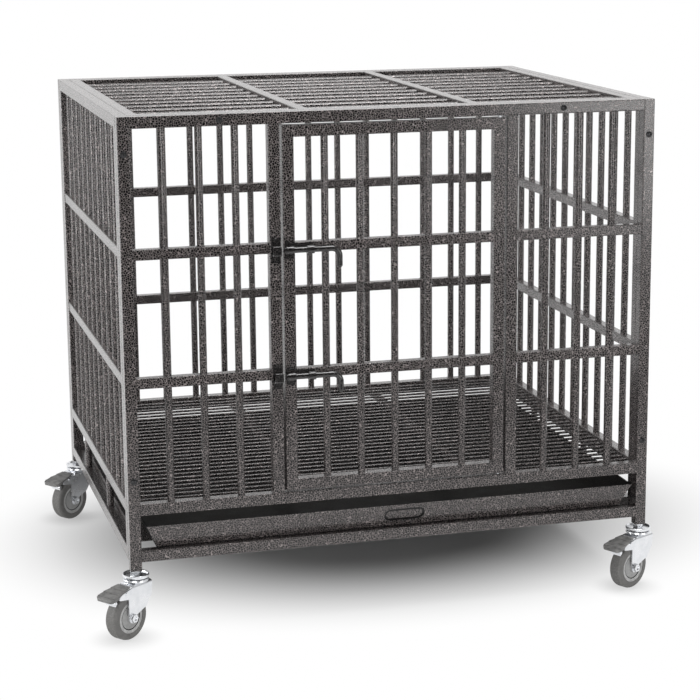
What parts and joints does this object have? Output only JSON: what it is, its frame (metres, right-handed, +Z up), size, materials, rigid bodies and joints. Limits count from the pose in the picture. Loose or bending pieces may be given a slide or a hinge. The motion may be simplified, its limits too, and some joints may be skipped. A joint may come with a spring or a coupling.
{
  "type": "dog crate",
  "caption": "Barred dog crate of square steel tube with a bolted swing door, wire floor, pull-out waste tray and braked swivel casters.",
  "frame": {"origin": "on the floor below the middle of the crate", "axes": "+X to the right along the door wall, -Y out through the door, +Z up"},
  "size_m": [1.0754, 0.8518, 0.894],
  "materials": {
    "coat": "hammered silver-vein powder coat",
    "zinc": "bright zinc plating",
    "screw": "black oxide",
    "pedal": "moulded grain",
    "hub": "moulded",
    "tyre": "matt soft tread"
  },
  "bodies": {
    "crate": {"front_left_post": "coat", "front_right_post": "coat", "back_left_post": "coat", "back_right_post": "coat", "front_left_grille": "coat", "front_right_grille": "coat", "front_top_rail": "coat", "front_floor_rail": "coat", "front_base_rail": "coat", "back_grille": "coat", "back_base_rail": "coat", "left_panel": "coat", "right_panel": "coat", "top_panel": "coat", "floor_grate": "coat", "grate_ledges": "coat", "tray_runners": "coat", "hinge_pins": "zinc", "latch_keepers": "coat", "panel_screws": "screw", "rivet_nuts": "zinc", "leg_plugs": "coat", "caster_stems": "zinc", "caster_cups": "zinc"},
    "door": {"door_panel": "coat", "latch_guides": "coat"},
    "upper_latch": {"upper_bolt": "coat"},
    "lower_latch": {"lower_bolt": "coat"},
    "tray_pan": {"tray_floor": "coat", "tray_front": "coat", "tray_back": "coat", "tray_sides": "coat"},
    "front_left_swivel": {"front_left_fork": "zinc", "front_left_axle": "zinc"},
    "front_left_wheel": {"front_left_hub": "hub", "front_left_tyre": "tyre"},
    "front_left_brake": {"front_left_pedal": "pedal", "front_left_shoe": "zinc"},
    "front_right_swivel": {"front_right_fork": "zinc", "front_right_axle": "zinc"},
    "front_right_wheel": {"front_right_hub": "hub", "front_right_tyre": "tyre"},
    "front_right_brake": {"front_right_pedal": "pedal", "front_right_shoe": "zinc"},
    "back_left_swivel": {"back_left_fork": "zinc", "back_left_axle": "zinc"},
    "back_left_wheel": {"back_left_hub": "hub", "back_left_tyre": "tyre"},
    "back_left_brake": {"back_left_pedal": "pedal", "back_left_shoe": "zinc"},
    "back_right_swivel": {"back_right_fork": "zinc", "back_right_axle": "zinc"},
    "back_right_wheel": {"back_right_hub": "hub", "back_right_tyre": "tyre"},
    "back_right_brake": {"back_right_pedal": "pedal", "back_right_shoe": "zinc"}
  },
  "joints": [
    {"name": "door_hinge", "type": "hinge", "parent": "crate", "child": "door", "pos_m": [0.19, -0.367, 0.55375], "axis": [0, 0, 1], "range_deg": [0, 105]},
    {"name": "upper_bolt_slide", "type": "slide", "parent": "door", "child": "upper_latch", "axis": [-1, 0, 0], "range_m": [0, 0.028]},
    {"name": "lower_bolt_slide", "type": "slide", "parent": "door", "child": "lower_latch", "axis": [-1, 0, 0], "range_m": [0, 0.028]},
    {"name": "tray_slide", "type": "slide", "parent": "crate", "child": "tray_pan", "axis": [0, -1, 0], "range_m": [0, 0.62]},
    {"name": "front_left_swivel_turn", "type": "hinge", "parent": "crate", "child": "front_left_swivel", "pos_m": [-0.465, -0.365, 0.101], "axis": [0, 0, 1], "continuous": true},
    {"name": "front_left_wheel_spin", "type": "hinge", "parent": "front_left_swivel", "child": "front_left_wheel", "pos_m": [-0.48656, -0.38125, 0.04], "axis": [0.6018, -0.7986, 0], "continuous": true},
    {"name": "front_left_brake_tip", "type": "hinge", "parent": "front_left_swivel", "child": "front_left_brake", "pos_m": [-0.50892, -0.3981, 0.083], "axis": [0.6018, -0.7986, 0], "range_deg": [0, 18]},
    {"name": "front_right_swivel_turn", "type": "hinge", "parent": "crate", "child": "front_right_swivel", "pos_m": [0.465, -0.365, 0.101], "axis": [0, 0, 1], "continuous": true},
    {"name": "front_right_wheel_spin", "type": "hinge", "parent": "front_right_swivel", "child": "front_right_wheel", "pos_m": [0.44116, -0.37768, 0.04], "axis": [0.4695, -0.8829, 0], "continuous": true},
    {"name": "front_right_brake_tip", "type": "hinge", "parent": "front_right_swivel", "child": "front_right_brake", "pos_m": [0.41644, -0.39082, 0.083], "axis": [0.4695, -0.8829, 0], "range_deg": [0, 18]},
    {"name": "back_left_swivel_turn", "type": "hinge", "parent": "crate", "child": "back_left_swivel", "pos_m": [-0.465, 0.365, 0.101], "axis": [0, 0, 1], "continuous": true},
    {"name": "back_left_wheel_spin", "type": "hinge", "parent": "back_left_swivel", "child": "back_left_wheel", "pos_m": [-0.48656, 0.34875, 0.04], "axis": [0.6018, -0.7986, 0], "continuous": true},
    {"name": "back_left_brake_tip", "type": "hinge", "parent": "back_left_swivel", "child": "back_left_brake", "pos_m": [-0.50892, 0.3319, 0.083], "axis": [0.6018, -0.7986, 0], "range_deg": [0, 18]},
    {"name": "back_right_swivel_turn", "type": "hinge", "parent": "crate", "child": "back_right_swivel", "pos_m": [0.465, 0.365, 0.101], "axis": [0, 0, 1], "continuous": true},
    {"name": "back_right_wheel_spin", "type": "hinge", "parent": "back_right_swivel", "child": "back_right_wheel", "pos_m": [0.48656, 0.38125, 0.04], "axis": [-0.6018, 0.7986, 0], "continuous": true},
    {"name": "back_right_brake_tip", "type": "hinge", "parent": "back_right_swivel", "child": "back_right_brake", "pos_m": [0.50892, 0.3981, 0.083], "axis": [-0.6018, 0.7986, 0], "range_deg": [0, 18]}
  ]
}
